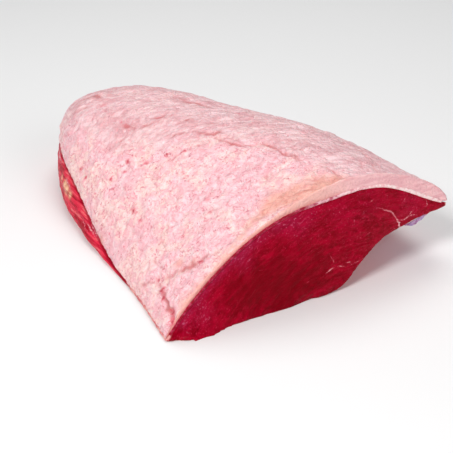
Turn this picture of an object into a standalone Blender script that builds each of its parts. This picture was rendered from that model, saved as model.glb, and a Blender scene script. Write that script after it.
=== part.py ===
"""Beef shoulder: a raw three-cornered joint, cut straight across its wide end.

Two bodies: the lean meat, and the fat cap that lies over its top and sides.
Metres, +Z up. The origin is under the middle of the joint, on the surface it rests on.
The cut face looks towards -Y, and the joint narrows towards its far end at +Y.
"""
import math

import bmesh
import bpy
import numpy as np

MM = 0.001

# Driving sizes, in millimetres
LENGTH = 306.0                # from the straight part of the cut's foot to the far end
FOOT_OF_CUT = -150.55         # its Y, which puts the origin under the middle
GAP = 0.3                     # between the fat cap and the lean meat
CUT_SWELL = 5.0               # how far the foot of the cut face stands out past its top
SWELL_AT = (0.0, 0.12, 0.35, 0.60, 0.80, 1.0)      # across the cut, from left to right
SWELL_SHARE = (0.0, 0.55, 1.0, 1.0, 0.3, 0.0)      # of the swell, at those places
FOOT_LOBE = 8.5               # how far a roll at the left of the foot stands out more
FOOT_LOBE_AT = 0.095          # across the cut
FOOT_LOBE_REACH = 0.075       # across the cut, to each side
ROLL_STEEPNESS = 2.5          # above 1 the roll keeps low on the cut face
CUT_FULLNESS = 0.6            # below 1 the swell starts high up on the cut face
CUT_FADE = 5.0                # the shape of the cut is gone after one row in this many
WALL_BULGE = 2.5              # how far the lean strip at the sides swells out, at most
WALL_BULGE_SHARE = 0.1        # of the strip's height, which limits the swell too
FAT_EDGE_LIFT = 1.6           # lowest height of the fat's edge above the surface
TIP_THICKNESS = 3.6           # lean meat left at the lifted right corner
TAIL_SAG = 3.4                # how far the thin tail under that corner hangs lower
TAIL_SAG_AT = 0.60            # of the way from the foot to the corner
TAIL_SAG_REACH = 0.14         # of that way, to each side

# Sections across the joint, from the cut to where the far end starts to round over
SECTION_AT = (0.0, 0.20, 0.35, 0.50, 0.65, 0.80, 0.92)             # of the length
LEFT_EDGE = (-114.5, -107.5, -105.5, -104.0, -99.0, -91.0, -84.0)  # X of the left side
CREST_X = (28.0, 27.0, 20.0, 8.0, -6.0, -18.0, -26.0)              # X of the highest line
CREST_HEIGHT = (84.2, 85.0, 84.5, 82.5, 80.0, 78.8, 78.6)
RIGHT_EDGE = (114.5, 112.5, 107.5, 92.0, 67.0, 46.0, 32.0)         # X of the right side
RIGHT_EDGE_HEIGHT = (44.5, 28.0, 22.0, 20.0, 20.0, 20.0, 20.0)
LEFT_FAT_HEIGHT = (1.8, 1.8, 2.6, 15.5, 28.5, 34.5, 37.0)          # lower edge of the fat
LEFT_FULLNESS = (1.80, 1.80, 1.85, 2.00, 2.30, 2.80, 3.00)         # 2 is an ellipse
LEFT_STEEPNESS = (1.30, 1.35, 1.50, 1.80, 2.40, 3.40, 3.80)
RIGHT_FULLNESS = (1.62, 1.95, 2.05, 2.00, 2.10, 2.15, 2.20)
RIGHT_STEEPNESS = (1.58, 1.80, 1.85, 1.85, 1.80, 1.80, 1.90)
LEFT_FOOT_INSET = (1.5, 1.0, 0.0, -2.5, -2.5, -0.5, 3.0)             # where the base starts
RIGHT_FOOT_X = (22.0, 52.0, 80.0, 72.0, 50.0, 30.0, 16.0)          # where the base ends
UNDERCUT = (1.0, 0.55, 0.0, 0.0, 0.0, 0.0, 0.0)                    # 1 is a hollow under the corner

# Depth of the fat along a section, from its left edge over the crest to its right edge
DEPTH_AT = (0.0, 0.20, 0.36, 0.43, 0.49, 0.56, 0.64, 0.72, 0.80, 0.90, 1.0)
DEPTH_AT_CUT = (3.0, 3.8, 3.8, 6.2, 10.6, 11.8, 9.6, 9.6, 11.5, 9.6, 2.8)
DEPTH_INSIDE = (3.0, 6.0, 8.0, 8.5, 9.0, 9.5, 9.0, 9.0, 9.0, 7.5, 3.0)
CUT_DEPTH_REACH = 0.22        # of the length, where one depth pattern gives way to the other

# Soft lumps and hollows of the fat: X, Y, reach and height of each
LUMPS = (
    (-93.0, -128.0, 17.0, 1.8),
    (-97.0, -86.0, 17.0, 1.6),
    (-84.0, -106.0, 13.0, -0.8),
    (-64.0, -122.0, 20.0, 1.0),
    (8.0, -104.0, 20.0, 1.3),
    (0.0, -70.0, 18.0, -0.9),
    (-20.0, -20.0, 26.0, 1.2),
    (10.0, 6.0, 22.0, -1.8),
    (4.0, 72.0, 24.0, 1.0),
    (-58.0, 90.0, 24.0, 1.6),
    (-70.0, 10.0, 30.0, 1.2),
    (45.0, -60.0, 28.0, 1.0),
)

# The rounded far end
END_STARTS = 0.74             # of the length
END_ROW = 0.72                # the same place, counted in rows
END_PINCH = 0.72              # how much narrower the joint is at its end
BASE_SHORTER = 0.018          # of the length, how far the base stays behind the end
END_DROP = 0.85               # below 1 the end is fuller, above 1 it is thinner
END_FAT_DROP = 0.5            # the same for the depth of the fat round the end
END_GAP_GROWTH = 2.5          # the gap widens by this share of itself round the end

# Rows of the cage
ACROSS = 18
ALONG = 14
CREST_ROW = 0.58              # of the way across, where a section is highest
FOOT_ROW = 0.60               # of the way across, where the base leaves the surface
HOLLOW_POWER = 3.4            # how steeply the hollow under the lifted corner rises
SIDE_POWER = 1.7              # how roundly the right side turns under elsewhere
SUBDIVISIONS = 1
SLOPE_STEP = 0.01             # share of a side over which a slope is measured
SMALLEST_REACH = 0.1          # keeps a direction from a length of nothing

FAT_COLOUR = (0.80, 0.56, 0.55, 1.0)
FAT_ROUGHNESS = 0.5
LEAN_COLOUR = (0.33, 0.012, 0.03, 1.0)
LEAN_ROUGHNESS = 0.35


def blend_along(keys, values, at):
    """Smooth curve through the values, read at a place between the keys."""
    keys = np.asarray(keys)
    values = np.asarray(values)
    slopes = np.gradient(values, keys)
    at = min(max(at, keys[0]), keys[-1])
    i = min(int(np.searchsorted(keys, at, side="right")) - 1, len(keys) - 2)
    span = keys[i + 1] - keys[i]
    t = (at - keys[i]) / span
    start = (1 + 2 * t) * (1 - t) ** 2 * values[i] + t * (1 - t) ** 2 * span * slopes[i]
    end = t * t * (3 - 2 * t) * values[i + 1] + t * t * (t - 1) * span * slopes[i + 1]
    return float(start + end)


def smooth_step(x):
    x = min(max(x, 0.0), 1.0)
    return x * x * (3 - 2 * x)


def end_angle(row):
    """0 along the body of the joint, rising to a quarter turn at the far end."""
    return max(0.0, (row - END_ROW) / (1 - END_ROW)) * math.pi / 2


def length_at(row):
    """Share of the length that a row of the cage stands at."""
    if row < END_ROW:
        return END_STARTS * row / END_ROW
    return END_STARTS + (1 - END_STARTS) * math.sin(end_angle(row))


def section(row):
    """Named sizes of the section at a row, narrowed towards the far end."""
    at = min(length_at(row), SECTION_AT[-1])
    sizes = {
        "left": blend_along(SECTION_AT, LEFT_EDGE, at),
        "crest": blend_along(SECTION_AT, CREST_X, at),
        "height": blend_along(SECTION_AT, CREST_HEIGHT, at),
        "right": blend_along(SECTION_AT, RIGHT_EDGE, at),
        "right_height": blend_along(SECTION_AT, RIGHT_EDGE_HEIGHT, at),
        "fat_height": blend_along(SECTION_AT, LEFT_FAT_HEIGHT, at),
        "left_fullness": blend_along(SECTION_AT, LEFT_FULLNESS, at),
        "left_steepness": blend_along(SECTION_AT, LEFT_STEEPNESS, at),
        "right_fullness": blend_along(SECTION_AT, RIGHT_FULLNESS, at),
        "right_steepness": blend_along(SECTION_AT, RIGHT_STEEPNESS, at),
        "foot_left": blend_along(SECTION_AT, LEFT_FOOT_INSET, at),
        "foot_right": blend_along(SECTION_AT, RIGHT_FOOT_X, at),
        "undercut": blend_along(SECTION_AT, UNDERCUT, at),
    }
    sizes["foot_left"] += sizes["left"]
    pinch = 1 - END_PINCH * (1 - math.cos(end_angle(row)))
    middle = (sizes["left"] + sizes["right"]) / 2
    for name in ("left", "crest", "right", "foot_left", "foot_right"):
        sizes[name] = middle + (sizes[name] - middle) * pinch
    return sizes


def outer_point(across, row):
    """Point on the outside of the fat cap."""
    s = section(row)
    if across < CREST_ROW:
        low = math.asin((s["fat_height"] / s["height"]) ** (s["left_steepness"] / 2))
        turn = low + (math.pi / 2 - low) * across / CREST_ROW
        x = s["crest"] - (s["crest"] - s["left"]) * math.cos(turn) ** (2 / s["left_fullness"])
        z = s["height"] * math.sin(turn) ** (2 / s["left_steepness"])
    else:
        turn = math.pi / 2 * (across - CREST_ROW) / (1 - CREST_ROW)
        reach = math.sin(turn) ** (2 / s["right_fullness"])
        drop = max(math.cos(turn), 0.0) ** (2 / s["right_steepness"])
        x = s["crest"] + (s["right"] - s["crest"]) * reach
        z = s["right_height"] + (s["height"] - s["right_height"]) * drop
    edge = s["fat_height"] + (s["right_height"] - s["fat_height"]) * across
    z = edge + (z - edge) * math.cos(end_angle(row)) ** END_DROP
    y = FOOT_OF_CUT + LENGTH * length_at(row) + CUT_SWELL * (1 - smooth_step(row * CUT_FADE))
    return np.array((x, y, z))


def inward(across, row):
    """Direction from the outside of the fat into the meat."""
    step = SLOPE_STEP
    across = min(max(across, 2 * step), 1 - 2 * step)
    near, far = max(row - step, 0.0), min(row + step, 1 - step)
    near = min(near, far - step)
    sideways = outer_point(across + step, min(row, far)) - outer_point(across - step, min(row, far))
    back = outer_point(across, far) - outer_point(across, near)
    normal = np.cross(back, sideways)
    if row == 0.0:
        normal[1] = 0.0
    return normal / np.linalg.norm(normal)


def lump_height(point):
    """Height of the lumps and hollows over a point of the fat."""
    height = 0.0
    for x, y, reach, rise in LUMPS:
        height += rise * math.exp(-((point[0] - x) ** 2 + (point[1] - y) ** 2) / reach ** 2)
    return height


def skin_point(across, row):
    """Point on the outside of the fat cap, with the lumps."""
    point = outer_point(across, row)
    return point - inward(across, row) * lump_height(point)


def gap_at(row):
    """Gap under the fat. It widens round the far end, where the surfaces turn sharply."""
    return GAP * (1 + END_GAP_GROWTH * (1 - math.cos(end_angle(row))))


def fat_depth(across, row):
    at_cut = blend_along(DEPTH_AT, DEPTH_AT_CUT, across)
    inside = blend_along(DEPTH_AT, DEPTH_INSIDE, across)
    depth = at_cut + (inside - at_cut) * smooth_step(length_at(row) / CUT_DEPTH_REACH)
    thin_end = DEPTH_INSIDE[0]
    return thin_end + (depth - thin_end) * math.cos(end_angle(row)) ** END_FAT_DROP


def inner_point(across, row, extra=0.0):
    """Point on the underside of the fat, or deeper by the extra."""
    point = outer_point(across, row) + inward(across, row) * (fat_depth(across, row) + extra)
    point[1] = min(point[1], FOOT_OF_CUT + LENGTH - DEPTH_INSIDE[0] - extra)
    point[2] = max(point[2], FAT_EDGE_LIFT - extra)
    return point


def foot_roll(across, row):
    """How far the roll at the left of the foot pushes the meat forward."""
    push = FOOT_LOBE * math.exp(-((across - FOOT_LOBE_AT) / FOOT_LOBE_REACH) ** 2)
    return push * (1 - smooth_step(row * CUT_FADE))


def base_point(across, row):
    """Point on the underside of the lean meat."""
    s = section(row)
    at = length_at(row) - BASE_SHORTER * (1 - math.cos(end_angle(row)))
    recess = CUT_SWELL * (1 - blend_along(SWELL_AT, SWELL_SHARE, across))
    y = FOOT_OF_CUT + LENGTH * at + recess * (1 - smooth_step(row * CUT_FADE))
    y -= foot_roll(across, row)
    if across <= FOOT_ROW:
        x = s["foot_left"] + (s["foot_right"] - s["foot_left"]) * across / FOOT_ROW
        return np.array((x, y, 0.0))
    edge = inner_point(1.0, row, gap_at(row))
    share = (across - FOOT_ROW) / (1 - FOOT_ROW)
    x = s["foot_right"] + (edge[0] - s["foot_right"]) * share
    hollow = 1 - (1 - share) ** HOLLOW_POWER
    rounded = share ** SIDE_POWER
    rise = rounded + (hollow - rounded) * s["undercut"]
    sag = TAIL_SAG * math.exp(-((share - TAIL_SAG_AT) / TAIL_SAG_REACH) ** 2)
    z = (edge[2] - TIP_THICKNESS) * rise - sag * s["undercut"]
    return np.array((x, y, max(z, 0.0)))


def build_cage(name, top, bottom, walls):
    """Closed cage from two grids of points and the wall rings between their edges."""
    mesh = bmesh.new()
    upper = [[mesh.verts.new(p * MM) for p in row] for row in top]
    lower = [[mesh.verts.new(p * MM) for p in row] for row in bottom]
    for j in range(ALONG):
        for i in range(ACROSS):
            mesh.faces.new((upper[j][i], upper[j][i + 1], upper[j + 1][i + 1], upper[j + 1][i]))
            mesh.faces.new((lower[j][i], lower[j + 1][i], lower[j + 1][i + 1], lower[j][i + 1]))
    rings = [[upper[j][i] for j, i in edge_places()]]
    for wall in walls:
        rings.append([mesh.verts.new(p * MM) for p in wall])
    rings.append([lower[j][i] for j, i in edge_places()])
    count = len(rings[0])
    for above, below in zip(rings, rings[1:]):
        for k in range(count):
            n = (k + 1) % count
            mesh.faces.new((above[n], above[k], below[k], below[n]))
    crease_the_cut(mesh, rings)
    body = bpy.data.meshes.new(name)
    mesh.to_mesh(body)
    mesh.free()
    return bpy.data.objects.new(name, body)


def edge_places():
    """Row and column of each point round the edge of a grid, counter-clockwise from above."""
    front = [(0, i) for i in range(ACROSS)]
    right = [(j, ACROSS) for j in range(ALONG)]
    back = [(ALONG, i) for i in range(ACROSS, 0, -1)]
    left = [(j, 0) for j in range(ALONG, 0, -1)]
    return front + right + back + left


def crease_the_cut(mesh, rings):
    """Keep the rim of the cut face sharp."""
    crease = mesh.edges.layers.float.new("crease_edge")
    front_count = ACROSS + 1
    for ring in (rings[0], rings[-1]):
        for a, b in zip(ring[:front_count - 1], ring[1:front_count]):
            mesh.edges.get((a, b))[crease] = 1.0
    for corner in (0, ACROSS):
        for above, below in zip(rings, rings[1:]):
            mesh.edges.get((above[corner], below[corner]))[crease] = 1.0


def make_fat_cap():
    outside = []
    inside = []
    for j in range(ALONG + 1):
        row = j / ALONG
        outside.append([skin_point(i / ACROSS, row) for i in range(ACROSS + 1)])
        inside.append([inner_point(i / ACROSS, row) for i in range(ACROSS + 1)])
    return build_cage("fat_cap", outside, inside, [])


def make_lean_meat():
    top = []
    base = []
    for j in range(ALONG + 1):
        row = j / ALONG
        top.append([inner_point(i / ACROSS, row, gap_at(row)) for i in range(ACROSS + 1)])
        base.append([base_point(i / ACROSS, row) for i in range(ACROSS + 1)])
    ledge = []
    belly = []
    for j, i in edge_places():
        upper = top[j][i]
        lower = base[j][i]
        if j == 0 and 0 < i < ACROSS:
            for ring, share in ((ledge, 1 / 3), (belly, 2 / 3)):
                point = upper + (lower - upper) * share
                roll = foot_roll(i / ACROSS, 0.0)
                point[1] = upper[1] + (lower[1] + roll - upper[1]) * share ** CUT_FULLNESS
                point[1] -= roll * share ** ROLL_STEEPNESS
                ring.append(point)
            continue
        under_fat = outer_point(i / ACROSS, j / ALONG)
        under_fat[2] = max(under_fat[2] - 2 * gap_at(j / ALONG), lower[2] + 2 * GAP)
        outward = np.array((under_fat[0] - upper[0], under_fat[1] - upper[1], 0.0))
        outward /= max(np.linalg.norm(outward), SMALLEST_REACH)
        height = under_fat[2] - lower[2]
        swell = min(WALL_BULGE, height * WALL_BULGE_SHARE)
        ledge.append(under_fat)
        belly.append((under_fat + lower) / 2 + outward * swell)
    return build_cage("lean_meat", top, base, [ledge, belly])


def make_material(name, colour, roughness):
    material = bpy.data.materials.new(name)
    material.use_nodes = True
    shader = material.node_tree.nodes["Principled BSDF"]
    shader.inputs["Base Color"].default_value = colour
    shader.inputs["Roughness"].default_value = roughness
    shader.inputs["Metallic"].default_value = 0.0
    return material


def finish(body, collection, material):
    collection.objects.link(body)
    body.data.materials.append(material)
    smooth = body.modifiers.new("soft form", "SUBSURF")
    smooth.levels = SUBDIVISIONS
    smooth.render_levels = SUBDIVISIONS
    body.data.shade_smooth()


def main():
    for old in list(bpy.data.objects):
        bpy.data.objects.remove(old, do_unlink=True)
    joint = bpy.data.collections.new("beef_shoulder")
    bpy.context.scene.collection.children.link(joint)
    finish(make_fat_cap(), joint, make_material("raw_fat", FAT_COLOUR, FAT_ROUGHNESS))
    finish(make_lean_meat(), joint, make_material("raw_lean", LEAN_COLOUR, LEAN_ROUGHNESS))


main()
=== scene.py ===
"""Looks of the raw beef shoulder joint: the fat cap, the lean meat and the white seams in its cut.

Fat and lean start as copies of the solids, are made smooth and fine, and then get their relief.
Marks that lie at one place on the meat are given as places in the 453 x 453 picture, and
are carried onto the surface along the camera's rays.
"""

import math

import bmesh
import bpy
import numpy as np
from mathutils import Euler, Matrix, Vector, kdtree, noise
from mathutils.bvhtree import BVHTree


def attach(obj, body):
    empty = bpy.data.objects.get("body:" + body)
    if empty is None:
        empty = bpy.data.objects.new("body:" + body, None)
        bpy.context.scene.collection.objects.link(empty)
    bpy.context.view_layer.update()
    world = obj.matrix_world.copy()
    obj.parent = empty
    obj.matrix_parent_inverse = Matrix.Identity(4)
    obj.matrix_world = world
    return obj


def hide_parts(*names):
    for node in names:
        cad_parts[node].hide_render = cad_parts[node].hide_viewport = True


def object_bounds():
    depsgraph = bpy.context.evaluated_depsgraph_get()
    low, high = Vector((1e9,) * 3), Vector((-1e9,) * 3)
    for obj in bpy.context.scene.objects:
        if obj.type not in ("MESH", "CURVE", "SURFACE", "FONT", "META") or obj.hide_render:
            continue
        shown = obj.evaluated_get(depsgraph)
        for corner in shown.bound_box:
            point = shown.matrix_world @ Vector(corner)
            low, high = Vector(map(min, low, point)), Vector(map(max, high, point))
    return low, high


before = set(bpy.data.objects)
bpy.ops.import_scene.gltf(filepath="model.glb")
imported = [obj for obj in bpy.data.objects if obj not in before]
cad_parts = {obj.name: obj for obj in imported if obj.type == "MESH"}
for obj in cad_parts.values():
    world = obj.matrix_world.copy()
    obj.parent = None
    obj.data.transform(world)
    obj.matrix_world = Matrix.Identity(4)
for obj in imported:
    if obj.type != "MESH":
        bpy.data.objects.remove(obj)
cad_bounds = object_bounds()

MM = 0.001

# Camera that shows the joint as the picture does
PICTURE = 453.0
FOCAL_PIXELS = 1050.0
SENSOR = 36.0
CAMERA_AZIMUTH = -29.7
CAMERA_ELEVATION = 28.25
CAMERA_DISTANCE = 812.25 * MM
CAMERA_AIM = Vector((0.71, -24.89, -2.89)) * MM

CUT_Y = -145.5                # mm: the upper part of the cut face stands here
FASCIA_END_X = 107.0          # mm: the white line between fat and lean ends here
TIP_X = 111.6                 # mm: the lean meat of the tail ends here
SOLE_Z = 0.2                  # mm: what lies lower is the flat sole and stays as it is
FAT_FOOT_Z = 0.25             # mm: the lower edge of the fat stays above this
FAT_SINK = 1.2                # mm: the relief of the fat starts this deep, to stay in the solid's box
LEFT_STREAKS = (125, 145)     # picture place round which the streaks run as at the left
LEFT_STREAKS_REACH = (42, 26)
CUT_ARC = (30.0, -70.0)       # mm: the fibres of the cut run round this point in X and Z
STREAK_LEFT = 26.0            # degrees from X: direction of the streaks at the left
STREAK_RIGHT = -18.0          # and at the right

# Stretches over which something fades in, in mm, from none to all
CALM_TAIL_X = (112, 98)       # relief of the sides, towards the tip of the tail
THIN_TAIL_X = (104, 111)      # thinning of the tail
RIGHT_RIM_X = (110.2, 111.4)  # rim of fat at the tip of the tail
LEFT_RIM_X = (-96, -102)      # rim of fat at the left, towards its side
LEFT_RIM_Y = (-66, -84)       # and towards the cut
SILVERSKIN_X = (60, 85)       # membrane under the tail, towards its tip
SILVERSKIN_Y = (-100, -130)   # and towards the cut
PEACH_BAND_X = (40, -10)      # peach tint of the fat's cut edge
LILAC_X = (-24, 16)           # from dark to lilac tissue along the cut
PALE_X = (12, 44)             # and from lilac to pale

# Fineness of the finished surfaces
FAT_GRAIN = 1.05 * MM
LEAN_GRAIN = 1.0 * MM
HIDDEN_NEAR = 0.7             # mm from the other piece: faces this near are never seen
HIDDEN_KEEP = 0.06            # share of the hidden faces that stays
SOLE_THIN_Z = 0.3             # mm: faces of the lean lower than this are never seen either
JOIN_FACE_ANGLE = 0.7         # radians: how flat two facets lie that become one before the smoothing
JOIN_SHAPE_ANGLE = 0.9        # radians: how far such a pair may be from a rectangle
CRISP_ANGLE = 40              # degrees: sharper edges, as round the cut, stay crisp

# Vector noise starts from the clock unless it is given a seed
NOISE_SEED = 4

# Fineness of the noise that roughens the drawn marks, in bumps per metre
FOLD_EDGE = 420
FOLD_PATCHES = 250
SPOT_EDGE = 500
SPOT_FRINGE = 1300
THREAD_EDGE = 1100
FASCIA_WAVE = 140
FASCIA_RIPPLE = 420

# Line of tissue along the top of the cut: it sweeps round the point CUT_ARC
FASCIA_SWEEP = (152, 44)      # degrees from X, from the left end to the right end
FASCIA_STEPS = 600
FASCIA_RADIUS = 1.0 * MM
FAR_OUT = 0.4                 # m: rays towards the meat start this far away
RAGGED_X = 20                 # mm: the line is most ragged here
THICK_X = 85                  # mm: and thickest here

# Thin membrane under the tail
SKIN_THICKNESS = 0.7 * MM
SKIN_BEHIND_CUT = 2.4         # mm

# Studio: each light is (name, place m, size m, power)
LIGHTS = (
    ("key_light", (-1.0, -0.55, 1.0), 0.40, 14.0),
    ("front_fill", (0.3, -1.3, 0.8), 0.8, 6.0),
    ("top_light", (0.3, 0.5, 1.5), 1.0, 11.0),
)
LIGHT_AIM = (0, 0, 0.03)
WORLD_LIGHT = 0.22
FLOOR_SIZE = 8.0
FLOOR_TONE = 0.86

# Folds of the fat, in picture pixels: each is (depth mm, width mm, pinkness, points)
FAT_LINES = (
    (1.0, 1.3, 0.85, ((215, 137), (222, 140), (230, 143), (240, 144), (250, 144), (257, 142))),
    (1.2, 1.4, 0.95, ((253, 143), (262, 141), (272, 144), (278, 148), (284, 152), (294, 158), (305, 163))),
    (0.7, 1.6, 0.80, ((283, 150), (290, 153), (297, 157), (304, 161))),
    (0.7, 1.1, 0.55, ((282, 145), (292, 146), (302, 149), (308, 153))),
    (0.5, 1.0, 0.50, ((286, 139), (293, 140), (299, 144))),
    (0.9, 1.1, 0.75, ((322, 165), (328, 167), (334, 171), (338, 174), (343, 178))),
    (0.5, 1.1, 0.50, ((344, 140), (352, 144), (360, 149), (370, 157), (380, 165))),
    (0.4, 1.0, 0.45, ((358, 153), (361, 162), (364, 171))),
    (0.4, 1.0, 0.45, ((371, 158), (374, 165), (376, 171))),
    (0.5, 1.1, 0.50, ((392, 165), (400, 170), (407, 173))),
    (0.6, 1.4, 0.60, ((218, 139), (225, 137), (233, 139), (241, 141))),
    (0.4, 1.3, 0.50, ((200, 121), (206, 122), (212, 123), (220, 121))),
    (0.9, 1.6, 0.85, ((151, 118), (161, 116), (166, 113))),
    (0.8, 1.6, 0.80, ((138, 127), (148, 124), (156, 121))),
    (0.7, 2.3, 0.85, ((121, 123), (127, 124), (136, 128))),
    (0.9, 2.5, 1.00, ((193, 130), (200, 132), (208, 133), (214, 134), (222, 130))),
    (0.7, 1.5, 0.65, ((172, 124), (184, 119), (197, 117))),
    (0.6, 1.5, 0.65, ((168, 137), (178, 133), (190, 131))),
    (1.2, 2.5, 0.85, ((178, 96), (186, 100), (196, 102), (205, 104), (213, 107))),
    (0.6, 1.3, 0.60, ((186, 150), (194, 147), (201, 143))),
    (0.6, 1.1, 0.50, ((178, 153), (172, 157), (166, 160))),
    (0.7, 2.5, 0.90, ((80, 99), (86, 96), (93, 94), (101, 96))),
    (0.5, 1.4, 0.50, ((68, 116), (75, 112), (84, 107), (92, 104))),
    (0.6, 1.1, 0.50, ((104, 152), (112, 145), (121, 139), (129, 131))),
    (0.5, 1.1, 0.45, ((117, 150), (125, 143), (134, 137))),
    (0.4, 1.1, 0.40, ((112, 162), (119, 155), (127, 149))),
    (0.6, 1.1, 0.55, ((154, 257), (156, 262), (160, 267), (166, 272))),
    (1.0, 2.0, 0.72, ((160, 282), (170, 276), (178, 270), (189, 266), (199, 260), (207, 255), (215, 251))),
    (0.6, 1.5, 0.58, ((136, 294), (139, 288), (144, 284), (151, 282), (157, 281))),
    (1.3, 1.9, 1.25, ((158, 283), (161, 290), (164, 297), (167, 305), (171, 313), (171, 324), (168, 337))),
    (0.6, 0.9, 0.50, ((167, 297), (174, 291), (180, 285))),
    (0.5, 0.8, 0.40, ((172, 303), (180, 298), (186, 292), (192, 284))),
    (0.6, 1.0, 0.60, ((160, 239), (163, 244), (166, 248))),
    (0.5, 0.9, 0.50, ((240, 197), (243, 195), (247, 193))),
    (0.5, 0.9, 0.45, ((222, 191), (228, 190), (234, 188))),
    (0.4, 2.0, 0.40, ((265, 170), (266, 175), (264, 180))),
    (0.4, 1.4, 0.40, ((206, 207), (209, 212), (212, 214))),
)

# Red spots on the fat: (x, y, radius mm, strength)
FAT_SPOTS = (
    (166, 154, 1.7, 1.0), (184, 150, 1.4, 0.8), (199, 145, 1.3, 0.7), (127, 161, 1.8, 0.8),
    (124, 170, 1.8, 0.7), (146, 162, 2.0, 0.7), (80, 169, 2.0, 0.7), (85, 177, 1.5, 0.8),
    (110, 179, 1.4, 0.8), (133, 211, 1.9, 1.0), (132, 209, 2.6, 0.4), (140, 220, 1.9, 0.6),
    (121, 120, 1.8, 0.5), (102, 103, 2.2, 0.4), (209, 211, 2.0, 0.55), (182, 236, 1.4, 0.9),
    (182, 172, 2.2, 0.5), (160, 242, 1.5, 0.5), (200, 260, 1.8, 1.0), (157, 280, 2.0, 0.7),
    (161, 290, 2.1, 1.0), (163, 297, 2.2, 1.0), (172, 312, 2.6, 1.1), (171, 322, 2.1, 0.9),
    (207, 199, 2.2, 0.5), (218, 177, 1.8, 0.45), (77, 130, 1.8, 0.5), (92, 118, 1.4, 0.4),
    (206, 165, 1.6, 0.4), (176, 206, 1.4, 0.45), (150, 226, 1.3, 0.45), (265, 175, 2.2, 0.3),
    (284, 162, 1.4, 0.5), (128, 195, 1.4, 0.5), (109, 233, 1.3, 0.45), (133, 225, 1.0, 0.5),
    (193, 190, 1.6, 0.4), (219, 190, 1.6, 0.45), (232, 213, 1.3, 0.4), (172, 218, 1.6, 0.4),
    (158, 119, 9, 0.22), (205, 131, 9, 0.20), (128, 125, 9, 0.20),
    (78, 201, 1.6, 0.5), (98, 214, 1.3, 0.4), (115, 262, 1.3, 0.4), (345, 141, 1.6, 0.4),
)

# Small lumps and dents of the fat: (x, y, radius mm, height mm)
FAT_LUMPS = (
    (184, 288, 9, 1.0), (176, 300, 6, 0.8), (143, 272, 8, 0.9), (172, 256, 6, 0.9), (150, 300, 7, 1.0),
    (163, 322, 6, 0.9), (196, 276, 6, 0.7), (208, 262, 6, 0.6), (296, 156, 6, 1.2), (288, 163, 5, -0.5),
    (232, 158, 6, 0.8), (236, 140, 6, 0.7), (216, 152, 7, 0.6), (128, 150, 8, 0.6), (170, 150, 7, 0.6),
    (182, 208, 7, 0.6), (152, 212, 7, 0.7), (120, 200, 9, 0.6), (100, 180, 8, 0.5), (206, 226, 7, 0.7),
    (230, 200, 8, 0.5), (98, 150, 8, 0.6), (80, 120, 8, 0.6), (146, 104, 9, 0.5), (200, 112, 7, 0.7),
    (243, 128, 7, 0.7), (272, 132, 8, 0.6), (158, 92, 7, 0.8), (190, 97, 5, 0.8), (330, 152, 8, 0.7),
    (366, 160, 7, 0.6), (390, 172, 6, 0.6), (140, 240, 8, 0.5), (166, 232, 6, 0.6), (118, 262, 7, 0.7),
    (218, 103, 7, -1.8), (204, 98, 5, 0.7),
)

# The streaky membrane lies above this line in the picture
MEMBRANE_EDGE = ((40, 130), (75, 122), (105, 150), (135, 148), (165, 146), (214, 142), (250, 141),
                 (287, 152), (306, 164), (340, 176), (400, 190), (460, 215))

# Peach coloured border of the fat along the cut: (x, y, radius mm)
PEACH_ZONE = (
    (338, 177, 7), (328, 181, 9), (316, 184, 10), (304, 189, 11), (292, 194, 11), (281, 198, 10),
    (270, 204, 7), (262, 212, 5), (255, 218, 4), (248, 226, 4), (241, 236, 3.5), (233, 246, 3.5),
    (225, 256, 3.5), (216, 266, 3.5), (207, 276, 3.5), (198, 286, 4), (190, 296, 4), (183, 305, 4),
    (192, 262, 4), (120, 285, 6),
    (178, 262, 4), (100, 240, 5), (150, 325, 5), (160, 335, 4),
)

# White seams in the cut face: (width mm, strength, points)
CUT_SEAMS = (
    (0.50, 0.65, ((376, 207), (381, 209), (386, 210), (392, 212), (396, 217), (398, 221), (400, 226))),
    (1.05, 1.0, ((397, 219), (399, 223), (400, 228))),
    (0.60, 0.75, ((399, 220), (404, 220), (409, 216), (412, 215), (417, 215))),
    (0.40, 0.7, ((409, 216), (411, 212), (413, 210))),
    (0.35, 0.6, ((401, 204), (404, 200), (406, 196))),
    (0.35, 0.6, ((423, 209), (427, 205), (426, 200), (423, 197))),
    (0.35, 0.5, ((385, 193), (388, 196), (387, 199))),
    (0.40, 0.6, ((369, 203), (374, 199))),
    (0.30, 0.5, ((366, 195), (371, 193))),
    (0.40, 0.5, ((329, 254), (333, 259), (334, 264), (336, 267))),
    (0.42, 0.75, ((325, 274), (329, 271), (333, 268), (336, 267))),
    (0.40, 0.65, ((336, 267), (341, 266), (346, 267))),
    (0.35, 0.7, ((345, 263), (350, 262), (353, 265))),
    (0.35, 0.6, ((351, 265), (357, 262), (362, 259))),
    (0.35, 0.5, ((305, 284), (309, 281), (311, 279))),
    (0.30, 0.4, ((354, 238), (360, 236))),
    (0.30, 0.5, ((364, 236), (371, 232))),
    (0.30, 0.35, ((256, 272), (262, 270), (267, 269))),
    (0.30, 0.35, ((322, 278), (324, 275))),
    (0.30, 0.35, ((235, 299), (238, 301))),
    (0.35, 0.5, ((190, 305), (194, 301), (197, 298))),
    (0.35, 0.5, ((389, 234), (393, 229), (399, 228))),
    (0.30, 0.5, ((434, 203), (435, 199))),
    (0.30, 0.4, ((299, 213), (303, 209))),
    (0.30, 0.3, ((350, 213), (358, 210), (366, 209))),
    (0.30, 0.3, ((312, 246), (318, 243))),
)

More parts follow.
